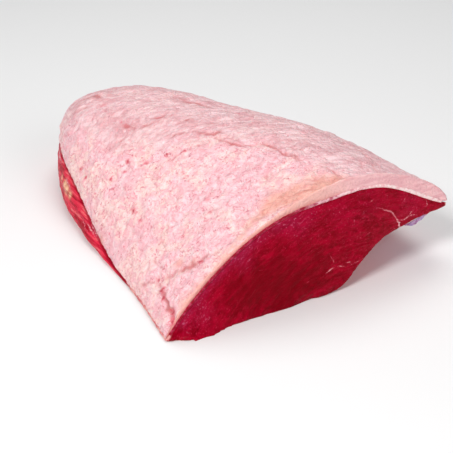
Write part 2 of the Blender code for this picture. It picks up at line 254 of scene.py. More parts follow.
# Painted sheen and painted shade of the cut face: (x, y, radius mm, value), a painted highlight above zero
# and painted shade below
CUT_SHEEN_AND_SHADE = (
    (270, 285, 22, -0.9), (310, 275, 20, -0.7), (230, 290, 16, -0.5), (250, 265, 14, -0.3),
    (340, 285, 10, -0.3), (200, 300, 9, 0.8), (218, 278, 9, 0.7), (240, 256, 9, 0.9),
    (258, 240, 9, 0.8), (285, 222, 10, 0.8), (310, 212, 9, 0.7), (185, 325, 7, 0.6),
    (300, 235, 12, 0.5), (340, 210, 12, 0.5), (372, 200, 12, 0.5), (410, 205, 14, 0.6),
    (355, 230, 12, 0.3), (204, 322, 8, 0.4), (350, 268, 8, 0.3), (330, 240, 14, 0.1),
)

# Purple sheen of the cut along the fat at the left: (x, y, radius mm, strength)
CUT_SHEEN = (
    (181, 322, 4, 0.8), (187, 312, 4, 0.9), (195, 302, 4, 0.8), (203, 291, 4, 0.9), (212, 279, 5, 0.9),
    (222, 268, 5, 1.0), (231, 257, 5, 1.0), (240, 249, 5, 1.0), (251, 241, 5, 0.8), (263, 233, 5, 0.7),
    (277, 225, 5, 0.7), (292, 219, 5, 0.6), (204, 314, 7, 0.4), (244, 262, 7, 0.5), (300, 225, 6, 0.3),
)

# Streaks of white tissue on the lean strip at the left: (width mm, strength, points)
SIDE_SEAMS = (
    (0.5, 0.6, ((65, 168), (67, 178), (70, 188), (73, 196))),
    (0.5, 0.8, ((61, 176), (63, 183), (66, 190), (69, 197))),
    (0.5, 0.8, ((64, 174), (67, 181), (70, 187), (72, 193))),
    (0.6, 0.9, ((86, 221), (90, 228), (95, 237))),
    (0.6, 0.8, ((90, 221), (95, 231), (100, 241))),
    (0.5, 0.7, ((80, 214), (84, 224), (89, 235))),
    (0.6, 0.6, ((58, 150), (59, 160), (61, 170))),
    (1.4, 0.75, ((60, 146), (59, 152), (60, 158), (61, 163))),
    (0.6, 0.9, ((173, 326), (172, 332), (171, 340))),
)

# Cream coloured patch on the lean strip: (x, y, radius mm, strength)
SIDE_CREAM = ((62, 178, 2.6, 0.7), (65, 184, 3.2, 1.0), (67, 190, 3.4, 1.1), (70, 195, 2.6, 0.9))

# The thin membrane that hangs under the tail, in picture pixels
SKIN_TOP = ((403, 225), (409, 223), (416, 219), (424, 213), (432, 209), (439, 206))
SKIN_FOOT = ((404, 225), (410, 226), (415, 224.5), (421, 219.5), (428, 213), (438, 207))


def deselect_all():
    for item in bpy.context.selected_objects:
        item.select_set(False)


def make_active(obj):
    deselect_all()
    obj.select_set(True)
    bpy.context.view_layer.objects.active = obj


def apply_modifier(obj, kind, **settings):
    """Add one modifier with its settings and apply it."""
    modifier = obj.modifiers.new(kind.lower(), kind)
    for name, value in settings.items():
        setattr(modifier, name, value)
    make_active(obj)
    bpy.ops.object.modifier_apply(modifier=modifier.name)


def points_of(obj):
    flat = np.zeros(len(obj.data.vertices) * 3)
    obj.data.vertices.foreach_get("co", flat)
    return flat.reshape(-1, 3)


def normals_of(obj):
    flat = np.zeros(len(obj.data.vertices) * 3, np.float32)
    obj.data.vertex_normals.foreach_get("vector", flat)
    return flat.reshape(-1, 3).astype(float)


def set_points(obj, points):
    obj.data.vertices.foreach_set("co", points.ravel())
    obj.data.update()


def set_mark(obj, name, values):
    """Store one value for each point, for the material to read."""
    mark = obj.data.attributes.new(name, "FLOAT", "POINT")
    mark.data.foreach_set("value", np.asarray(values, np.float32))


def smooth_step(low, high, x):
    t = np.clip((x - low) / (high - low), 0.0, 1.0)
    return t * t * (3 - 2 * t)


def surface_of(obj):
    """Search tree over the object's faces."""
    return BVHTree.FromObject(obj, bpy.context.evaluated_depsgraph_get())


def distance_to(tree, points):
    """Distance in millimetres from each point to the nearest face of the tree."""
    return np.array([tree.find_nearest(Vector(p))[3] for p in points]) / MM


def noise_at(points, size_mm, shift=0.0, stretch=(1, 1, 1)):
    """Smooth noise between about -1 and 1, with bumps of the given size."""
    scale = 1.0 / (size_mm * MM)
    factor = np.array(stretch) * scale
    moved = points * factor + shift
    return np.array([noise.noise(Vector(p)) for p in moved])


def camera_axes():
    azimuth = math.radians(CAMERA_AZIMUTH)
    elevation = math.radians(CAMERA_ELEVATION)
    level = math.cos(elevation)
    back = Vector((math.sin(azimuth) * level, -math.cos(azimuth) * level, math.sin(elevation)))
    right = Vector((math.cos(azimuth), math.sin(azimuth), 0))
    return right, back.cross(right), back


def camera_place():
    return CAMERA_AIM + camera_axes()[2] * CAMERA_DISTANCE


def picture_ray(x, y):
    """Direction from the camera through a place in the picture."""
    right, up, back = camera_axes()
    half = PICTURE / 2
    return (right * (x - half) + up * (half - y) - back * FOCAL_PIXELS).normalized()


def picture_place(points):
    """Where points on the meat lie in the picture."""
    right, up, back = (np.array(axis) for axis in camera_axes())
    offset = points - np.array(camera_place())
    depth = -(offset @ back)
    x = PICTURE / 2 + FOCAL_PIXELS * (offset @ right) / depth
    y = PICTURE / 2 - FOCAL_PIXELS * (offset @ up) / depth
    return x, y


def along(points, step=1.0):
    """Places along a line in the picture, a step apart, with their share of its length."""
    places = []
    points = [Vector(p) for p in points]
    total = sum((b - a).length for a, b in zip(points, points[1:]))
    gone = 0.0
    for a, b in zip(points, points[1:]):
        count = max(1, int((b - a).length / step))
        for k in range(count):
            places.append((a.lerp(b, k / count), (gone + (b - a).length * k / count) / total))
        gone += (b - a).length
    places.append((points[-1], 1.0))
    return places


def on_surface(tree, x, y):
    """Point of the surface that a place in the picture shows, or None beside the meat."""
    return tree.ray_cast(camera_place(), picture_ray(x, y))[0]


def fine_copy(node, name, grain):
    """Smooth, fine copy of a solid, whose facets are gone and whose cut rim stays crisp."""
    obj = bpy.data.objects.new(name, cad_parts[node].data.copy())
    bpy.context.scene.collection.objects.link(obj)
    obj.data.materials.clear()
    work = bmesh.new()
    work.from_mesh(obj.data)
    bmesh.ops.remove_doubles(work, verts=work.verts, dist=0.01 * MM)
    bmesh.ops.join_triangles(work, faces=work.faces, angle_face_threshold=JOIN_FACE_ANGLE,
                             angle_shape_threshold=JOIN_SHAPE_ANGLE)
    crease = work.edges.layers.float.new("crease_edge")
    for edge in work.edges:
        if edge.is_manifold and edge.calc_face_angle() > math.radians(CRISP_ANGLE):
            edge[crease] = 1.0
    work.to_mesh(obj.data)
    work.free()
    apply_modifier(obj, "SUBSURF", levels=2, render_levels=2)
    apply_modifier(obj, "REMESH", mode="VOXEL", voxel_size=grain)
    apply_modifier(obj, "SMOOTH", factor=0.5, iterations=4)
    obj.data.shade_smooth()
    return obj


def thin_out_hidden(obj, other_tree, low_z=None):
    """Fewer faces where this piece lies against the other one."""
    points = points_of(obj)
    hidden = distance_to(other_tree, points) < HIDDEN_NEAR
    if low_z is not None:
        hidden |= points[:, 2] < low_z
    group = obj.vertex_groups.new(name="hidden")
    group.add([int(i) for i in np.flatnonzero(hidden)], 1.0, "REPLACE")
    share = hidden.mean()
    apply_modifier(obj, "DECIMATE", ratio=1 - share * (1 - HIDDEN_KEEP), vertex_group="hidden")
    obj.vertex_groups.clear()


def finder_of(places):
    """Search tree over single places, which gives back the number of each."""
    finder = kdtree.KDTree(len(places))
    for k, place in enumerate(places):
        finder.insert(place, k)
    finder.balance()
    return finder


def line_marks(points, tree, lines):
    """Relief and pinkness at each point, from the folds drawn on the fat.

    A fold is a valley with a low lip on both sides. Noise bends it, breaks it up and varies its width.
    """
    drawn = []
    for depth, width, pink, places in lines:
        for place, share in along(places, 0.7):
            spot = Vector((place.x, place.y, 40 * depth))
            bend = noise.noise_vector(spot * 0.21) * 1.5
            broken = max(0.45, 0.85 + 0.70 * noise.noise(spot * 0.17))
            hit = on_surface(tree, place.x + bend.x, place.y + bend.y)
            if hit is not None:
                fade = math.sin(math.pi * min(max(share, 0.06), 0.94)) ** 0.5
                wide = width * (1.05 + 0.6 * noise.noise(spot * 0.13))
                drawn.append((hit, depth * fade * broken, wide, pink * fade * (0.35 + 0.65 * broken)))
    finder = finder_of([item[0] for item in drawn])
    groove = np.zeros(len(points))
    pinkness = np.zeros(len(points))
    for i, p in enumerate(points):
        co = Vector(p)
        hit, k, gap = finder.find(co)
        gap = gap / MM
        if gap < 9.0:
            _, depth, width, pink = drawn[k]
            gap = max(0.0, gap + 0.5 * noise.noise(co * FOLD_EDGE))
            valley = math.exp(-(gap / (1.3 * width)) ** 2)
            lip = math.exp(-((gap - 2.9 * width) / (1.4 * width)) ** 2)
            groove[i] = depth * (0.45 * lip - 0.95 * valley)
            patchy = 0.85 + 0.5 * noise.noise(co * FOLD_PATCHES)
            pinkness[i] = pink * patchy * math.exp(-(gap / width) ** 2)
    return groove, pinkness


def spot_marks(points, tree, spots):
    """Ragged round marks: the strongest one that reaches each point."""
    marks = np.zeros(len(points))
    finder = finder_of([Vector(p) for p in points])
    for x, y, radius, strength in spots:
        hit = on_surface(tree, x, y)
        if hit is None:
            continue
        for co, i, gap in finder.find_range(hit, radius * 3.0 * MM):
            rough = 1 + 0.8 * noise.noise(co * SPOT_EDGE) + 0.5 * noise.noise(co * SPOT_FRINGE)
            core = math.exp(-(gap / MM / (radius * rough)) ** 2)
            halo = math.exp(-(gap / MM / radius / 1.7) ** 2)
            marks[i] = max(marks[i], strength * (0.85 * core + 0.30 * halo))
    return marks


def soft_sum(points, tree, spots):
    """Sum of soft round marks, for lumps and for broad changes of colour."""
    total = np.zeros(len(points))
    for x, y, radius, amount in spots:
        hit = on_surface(tree, x, y)
        if hit is None:
            continue
        gap = np.linalg.norm(points - np.array(hit), axis=1) / MM
        total += amount * np.exp(-(gap / radius) ** 2)
    return total


def thread_marks(points, tree, threads):
    """Strength of the thin pale threads at each point."""
    drawn = []
    for width, strength, places in threads:
        for place, share in along(places, 0.6):
            bend = 0.9 * noise.noise(Vector((place.x * 0.3, place.y * 0.3, 2)))
            hit = on_surface(tree, place.x + bend, place.y - bend)
            if hit is not None:
                fade = math.sin(math.pi * min(max(share, 0.10), 0.90))
                drawn.append((hit, width * (0.5 + 0.5 * fade), strength * (0.5 + 0.5 * fade)))
    finder = finder_of([item[0] for item in drawn])
    marks = np.zeros(len(points))
    for i, p in enumerate(points):
        co = Vector(p)
        hit, k, gap = finder.find(co)
        gap = gap / MM
        if gap < 3.0:
            _, width, strength = drawn[k]
            gap += 0.35 * abs(noise.noise(co * THREAD_EDGE))
            core = math.exp(-(gap / (1.25 * width)) ** 2)
            halo = math.exp(-(gap / (3.0 * width)) ** 2)
            marks[i] = strength * (0.85 * core + 0.20 * halo)
    return marks


def above_line(points, line):
    """Picture pixels by which each point lies above a line drawn in the picture."""
    x, y = picture_place(points)
    xs = [p[0] for p in line]
    ys = [p[1] for p in line]
    return np.interp(x, xs, ys) - y


def lobules(points, size_mm, shift):
    """Domes of fat lobules, 0 in the grooves between them and 1 on their tops."""
    values = np.zeros(len(points))
    scale = 1.0 / (size_mm * MM)
    for i, p in enumerate(points):
        spot = Vector(p) * scale
        spot += noise.noise_vector(spot * 0.7) * 0.5
        near, far = noise.voronoi(spot + Vector((shift, 0, 0)))[0][:2]
        values[i] = min(1.0, (far - near) * 2.2)
    return values


def grained(points, turn_deg):
    """Points turned about Z, so that the streaks run at the given angle from X."""
    turn = math.radians(turn_deg)
    turned = points.copy()
    turned[:, 0] = points[:, 0] * math.cos(turn) + points[:, 1] * math.sin(turn)
    turned[:, 1] = points[:, 1] * math.cos(turn) - points[:, 0] * math.sin(turn)
    return turned


def inside_solid_box(points):
    """Points with those outside the solids' box brought back to its sides."""
    low, high = (np.array(corner) for corner in cad_bounds)
    return np.clip(points, low, high)


def make_fat_cap(lean_tree):
    fat = fine_copy("fat_cap", "fat_cap_skin", FAT_GRAIN)
    cad_tree = surface_of(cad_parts["fat_cap"])
    thin_out_hidden(fat, lean_tree)
    points = points_of(fat)
    normals = normals_of(fat)
    from_lean = distance_to(lean_tree, points)
    outside = smooth_step(0.8, 2.4, from_lean)
    on_cut = smooth_step(0.5, 0.8, -normals[:, 1])
    on_cut *= smooth_step(CUT_Y + 3, CUT_Y + 1.2, points[:, 1] / MM)
    groove, pinkness = line_marks(points, cad_tree, FAT_LINES)
    membrane = smooth_step(-8, 14, above_line(points, MEMBRANE_EDGE) + 9 * noise_at(points, 18.0))
    x, y = picture_place(points)
    across = (x - LEFT_STREAKS[0]) / LEFT_STREAKS_REACH[0]
    down = (y - LEFT_STREAKS[1]) / LEFT_STREAKS_REACH[1]
    right = 1 - np.exp(-across ** 2 - down ** 2)

    # Relief in mm, from the broad swell down to the streaks
    long_grain = (0.30, 1.5, 1.0)
    left_streak = noise_at(grained(points, STREAK_LEFT), 3.6, 2.0, long_grain)
    right_streak = noise_at(grained(points, STREAK_RIGHT), 4.4, 6.0, long_grain)
    streaks = left_streak * (1 - right) + right_streak * right
    swell = 0.8 * noise_at(points, 40.0, 3.0) + 0.8 * noise_at(points, 17.0, 7.0)
    domes = 0.45 * lobules(points, 8.5, 0.0) + 0.35 * lobules(points, 4.4, 5.0)
    lumps = 1.20 * noise_at(points, 8.0, 11.0) + 0.50 * noise_at(points, 4.2, 5.0)
    fine = (lumps + domes) * (1 - 0.60 * membrane) + 0.60 * streaks * (0.20 + 0.80 * membrane)
    height = (swell - FAT_SINK + fine + soft_sum(points, cad_tree, FAT_LUMPS)) * (1 - 0.85 * on_cut)
    height = (height + groove) * outside + 0.12 * noise_at(points, 2.4, 8.0) * on_cut
    moved = points + normals * (height * MM)[:, None]
    moved = inside_solid_box(moved)
    moved[:, 2] = np.maximum(moved[:, 2], FAT_FOOT_Z * MM)
    set_points(fat, moved)

    set_mark(fat, "redness", spot_marks(points, cad_tree, FAT_SPOTS))
    set_mark(fat, "pinkness", pinkness)
    set_mark(fat, "membrane", membrane)
    set_mark(fat, "right_part", right)
    set_mark(fat, "on_cut", on_cut)
    set_mark(fat, "from_lean", from_lean)
    peach = [(x, y, radius, 0.7) for x, y, radius in PEACH_ZONE]
    set_mark(fat, "peach", np.minimum(1.0, soft_sum(points, cad_tree, peach)) * (1 - on_cut))
    return fat


def refine_cut(obj):
    """Halve the faces of the cut, where the seams and fibres are fine."""
    work = bmesh.new()
    work.from_mesh(obj.data)
    limit = (CUT_Y + 10) * MM
    cut = [face for face in work.faces if face.normal.y < -0.35 and face.calc_center_median().y < limit]
    edges = list({edge for face in cut for edge in face.edges})
    bmesh.ops.subdivide_edges(work, edges=edges, cuts=1, use_grid_fill=True)
    work.to_mesh(obj.data)
    work.free()
    obj.data.shade_smooth()


def make_lean_meat(fat_tree):
    lean = fine_copy("lean_meat", "lean_muscle", LEAN_GRAIN)
    thin_out_hidden(lean, fat_tree, SOLE_THIN_Z * MM)
    refine_cut(lean)
    cad_tree = surface_of(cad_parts["lean_meat"])
    points = points_of(lean)
    normals = normals_of(lean)
    from_fat = distance_to(fat_tree, points)
    x, y, z = points.T / MM
    on_cut = smooth_step(0.45, 0.75, -normals[:, 1]) * smooth_step(CUT_Y + 8, CUT_Y + 3, y)
    under_fat = smooth_step(1.0, 0.5, from_fat)
    open_side = 1 - under_fat

    # The fibres of the cut run round one point, so their noise is read along that arc
    arc_x = x - CUT_ARC[0]
    arc_z = z - CUT_ARC[1]
    radius = np.hypot(arc_x, arc_z)
    turn = np.degrees(np.arctan2(arc_z, arc_x))
    fibre = np.stack([radius * MM, turn * 0.35 * MM, y * MM * 0.3], -1)
    ridges = 0.20 * noise_at(fibre, 3.2, 4.0) + 0.14 * noise_at(fibre, 1.5, 1.0)
    swell = 0.8 * noise_at(points, 30.0, 6.0) + 0.35 * noise_at(points, 11.0, 2.0)
    side = 0.6 * noise_at(points, 4.5, 9.0, (1, 0.25, 1)) + 0.3 * noise_at(points, 2.2, 3.0, (1, 0.3, 1))
    threads = np.maximum(thread_marks(points, cad_tree, CUT_SEAMS) * on_cut,
                         thread_marks(points, cad_tree, SIDE_SEAMS) * (1 - on_cut))
    side_relief = (swell + side) * open_side * smooth_step(*CALM_TAIL_X, x)
    height = (swell * 0.6 + ridges) * on_cut + side_relief * (1 - on_cut)
    height -= 0.7 * smooth_step(*THIN_TAIL_X, x) * (1 - on_cut)
    height *= smooth_step(0.0, 3.0, z) * 0.85 + 0.15
    height += 0.35 * under_fat + 0.22 * threads
    moved = points + normals * (height * MM)[:, None]

    # The foot of the cut is uneven, and the sole stays flat
    foot = np.exp(-(z / 5.0) ** 2) * smooth_step(CUT_Y + 4, CUT_Y - 2, y)
    moved[:, 1] += (1.8 * noise_at(points, 17.0, 12.0) + 0.7 * noise_at(points, 6.0, 3.0)) * foot * MM
    moved[:, 2] = np.maximum(moved[:, 2], 0.0)
    moved[z < SOLE_Z, 2] = points[z < SOLE_Z, 2]
    moved[:, 0] = np.minimum(moved[:, 0], TIP_X * MM)
    set_points(lean, inside_solid_box(moved))
    set_mark(lean, "on_cut", on_cut)
    set_mark(lean, "threads", threads)
    right_rim = smooth_step(*RIGHT_RIM_X, x + 0.6 * noise_at(points, 5.0, 4.0))
    left_rim = smooth_step(*LEFT_RIM_Y, y) * smooth_step(*LEFT_RIM_X, x) * (1 - on_cut) * 0.8
    set_mark(lean, "fat_rim", np.maximum(right_rim, left_rim))
    set_mark(lean, "cream", np.minimum(1.0, soft_sum(points, cad_tree, SIDE_CREAM)) * (1 - on_cut))
    # Painted sheen and painted shade of the cut face, from the table of its places
    set_mark(lean, "sheen_and_shade", soft_sum(points, cad_tree, CUT_SHEEN_AND_SHADE))
    set_mark(lean, "from_fat", from_fat)
    set_mark(lean, "sheen", np.minimum(1.0, soft_sum(points, cad_tree, CUT_SHEEN)) * on_cut)
    set_mark(lean, "end_part", smooth_step(0.3, 0.7, normals[:, 1]))
    silverskin = smooth_step(*SILVERSKIN_X, x) * smooth_step(*SILVERSKIN_Y, y)
    set_mark(lean, "silverskin", 0.6 * silverskin * (1 - on_cut))
    return lean


def make_fascia(lean_tree):
    """Flat line of tissue between fat and lean, along the top of the cut."""
    centre = Vector((CUT_ARC[0], CUT_Y + 1.5, CUT_ARC[1])) * MM
    curve = bpy.data.curves.new("fascia_line", "CURVE")
    curve.dimensions = "3D"
    curve.bevel_depth = FASCIA_RADIUS
    curve.bevel_resolution = 2
    curve.use_fill_caps = True
    run = []
    for turn_deg in np.linspace(*FASCIA_SWEEP, FASCIA_STEPS + 1):
        turn = math.radians(turn_deg)
        outward = Vector((math.cos(turn), 0, math.sin(turn)))
        hit = lean_tree.ray_cast(centre + outward * FAR_OUT, -outward)[0]
        if hit is None or hit.z < 1.5 * MM or hit.x > FASCIA_END_X * MM:
            continue
        wave = noise.noise(hit * FASCIA_WAVE) + 0.5 * noise.noise(hit * FASCIA_RIPPLE)
        at_x = hit.x / MM
        ragged = 0.25 + 0.45 * math.exp(-((at_x - RAGGED_X) / 24) ** 2)
        thick = 1.25 + 0.20 * wave + 0.35 * math.exp(-((at_x - THICK_X) / 20) ** 2)
        run.append((hit + outward * (0.15 + ragged * wave) * MM, thick))
    spline = curve.splines.new("POLY")
    spline.points.add(len(run) - 1)
    for point, (co, thick) in zip(spline.points, run):
        point.co = (*co, 1.0)
        point.radius = thick
    draft = bpy.data.objects.new("fascia_line", curve)
    bpy.context.scene.collection.objects.link(draft)
    make_active(draft)
    bpy.ops.object.convert(target="MESH")
    fascia = bpy.context.view_layer.objects.active
    points = points_of(fascia)
    depth = points[:, 1] / MM - CUT_Y - 1.5
    points[:, 1] = (CUT_Y + 0.25 + 0.6 * depth) * MM
    set_points(fascia, points)
    fascia.data.shade_smooth()
    return fascia


def picture_on_plane(x, y, plane_y):
    """Point of an upright plane that a place in the picture shows."""
    ray = picture_ray(x, y)
    return camera_place() + ray * ((plane_y - camera_place().y) / ray.y)


def make_silverskin():
    """Thin membrane that hangs from the underside of the tail, just behind the cut."""
    bpy.ops.mesh.primitive_grid_add(x_subdivisions=30, y_subdivisions=6, size=2.0)
    skin = bpy.context.view_layer.objects.active
    skin.name = "silverskin_flap"
    points = points_of(skin)
    for i, (across, down, _) in enumerate(points):
        share = (across + 1) / 2
        fall = (1 - down) / 2
        place = share * (len(SKIN_TOP) - 1)
        ranks = range(len(SKIN_TOP))
        x = [np.interp(place, ranks, [p[0] for p in line]) for line in (SKIN_TOP, SKIN_FOOT)]
        y = [np.interp(place, ranks, [p[1] for p in line]) for line in (SKIN_TOP, SKIN_FOOT)]
        wave = noise.noise(Vector((share * 7, fall * 2, 0)))
        edge = 1.0 * noise.noise(Vector((share * 9, 4, 0))) * fall
        points[i] = picture_on_plane(x[0] + (x[1] - x[0]) * fall, y[0] + (y[1] - y[0]) * fall + edge,
                                     (CUT_Y + SKIN_BEHIND_CUT + 0.8 * wave) * MM)
    set_points(skin, points)
    apply_modifier(skin, "SOLIDIFY", thickness=SKIN_THICKNESS, offset=0.0)
    apply_modifier(skin, "SUBSURF", levels=1, render_levels=1)
    skin.data.shade_smooth()
    return skin


class Recipe:
    """Small helper that adds nodes to one material."""

    def __init__(self, name):
        self.material = bpy.data.materials.new(name)
        self.material.use_nodes = True
        self.nodes = self.material.node_tree.nodes
        self.links = self.material.node_tree.links
        self.shader = self.nodes["Principled BSDF"]
        self.place = self.nodes.new("ShaderNodeTexCoord").outputs["Object"]

    def add(self, kind, **settings):
        node = self.nodes.new(kind)
        for name, value in settings.items():
            setattr(node, name, value)
        return node

    def feed(self, socket, value):
        if isinstance(value, bpy.types.NodeSocket):
            self.links.new(value, socket)
        else:
            socket.default_value = value

    def mark(self, name):
        """Value of the mark that was stored on the mesh under this name."""
        return self.add("ShaderNodeAttribute", attribute_name=name).outputs["Fac"]

    def split(self, source):
        """X, Y and Z of a vector."""
        node = self.add("ShaderNodeSeparateXYZ")
        self.feed(node.inputs[0], source)
        return node.outputs["X"], node.outputs["Y"], node.outputs["Z"]

    def join(self, x, y, z):
        node = self.add("ShaderNodeCombineXYZ")
        for socket, item in zip(node.inputs, (x, y, z)):
            self.feed(socket, item)
        return node.outputs[0]

    def drawn_out(self, lengths, turn_deg=0.0):
        """Coordinates in which a pattern is drawn out by the given lengths, turned about Z."""
        node = self.add("ShaderNodeMapping", vector_type="TEXTURE")
        node.inputs["Rotation"].default_value = (0, 0, math.radians(turn_deg))
        node.inputs["Scale"].default_value = lengths
        self.links.new(self.place, node.inputs["Vector"])
        return node.outputs["Vector"]

    def threads(self, size_mm, width):
        """Thin winding lines, where a noise passes its middle value."""
        off_middle = self.math("SUBTRACT", self.noise(size_mm, 2.0, 0.5, warp=1.0), 0.5)
        return self.spread(self.math("ABSOLUTE", off_middle), width, 0.0)

    def cell_edges(self, size_mm, source):
        """Distance from the borders between cells of the given size."""
        node = self.add("ShaderNodeTexVoronoi", feature="DISTANCE_TO_EDGE")
        node.inputs["Scale"].default_value = 1000.0 / size_mm
        self.links.new(source, node.inputs["Vector"])
        return node.outputs["Distance"]

    def warped(self, size_mm, reach_mm):
        """Coordinates shifted by noise, so that patterns bend."""
        field = self.add("ShaderNodeTexNoise")
        field.inputs["Scale"].default_value = 1000.0 / size_mm
        self.links.new(self.place, field.inputs["Vector"])
        shift = self.add("ShaderNodeVectorMath", operation="MULTIPLY_ADD")
        shift.inputs[1].default_value = (reach_mm * MM,) * 3
        self.links.new(field.outputs["Color"], shift.inputs[0])
        self.links.new(self.place, shift.inputs[2])
        return shift.outputs[0]

    def noise(self, size_mm, detail=3.0, rough=0.55, source=None, warp=0.0):
        node = self.add("ShaderNodeTexNoise")
        node.inputs["Scale"].default_value = 1000.0 / size_mm
        node.inputs["Detail"].default_value = detail
        node.inputs["Roughness"].default_value = rough
        node.inputs["Distortion"].default_value = warp
        self.links.new(source or self.place, node.inputs["Vector"])
        return node.outputs["Fac"]

    def spread(self, value, low, high, to_low=0.0, to_high=1.0):
        """Value carried smoothly from the range low to high onto the range to_low to to_high."""
        node = self.add("ShaderNodeMapRange", interpolation_type="SMOOTHSTEP")
        for socket, item in zip(node.inputs, (value, low, high, to_low, to_high)):
            self.feed(socket, item)
        return node.outputs["Result"]

    def spread_along_x(self, x, stretch_mm):
        """Share from 0 to 1 over a stretch of X given in millimetres."""
        return self.spread(x, stretch_mm[0] * MM, stretch_mm[1] * MM)

    def math(self, operation, a, b=0.0):
        node = self.add("ShaderNodeMath", operation=operation)
        self.feed(node.inputs[0], a)
        self.feed(node.inputs[1], b)
        return node.outputs[0]

    def mix(self, share, a, b):
        """Colour between a and b."""
        node = self.add("ShaderNodeMix", data_type="RGBA")
        self.feed(node.inputs[0], share)
        self.feed(node.inputs[6], a)
        self.feed(node.inputs[7], b)
        return node.outputs[2]

    def mix_values(self, share, a, b):
        """Number between a and b."""
        node = self.add("ShaderNodeMix", data_type="FLOAT")
        self.feed(node.inputs[0], share)
        self.feed(node.inputs[2], a)
        self.feed(node.inputs[3], b)
        return node.outputs[0]

    def bump(self, height, distance_mm, strength, normal=None):
        node = self.add("ShaderNodeBump")
        node.inputs["Strength"].default_value = strength
        node.inputs["Distance"].default_value = distance_mm * MM
        self.links.new(height, node.inputs["Height"])
        if normal is not None:
            self.links.new(normal, node.inputs["Normal"])
        return node.outputs["Normal"]


def srgb(red, green, blue):
    """Colour for a shader from its 0 to 255 screen values."""
    linear = []
    for value in (red, green, blue):
        v = value / 255
        linear.append(v / 12.92 if v <= 0.04045 else ((v + 0.055) / 1.055) ** 2.4)
    return (*linear, 1.0)


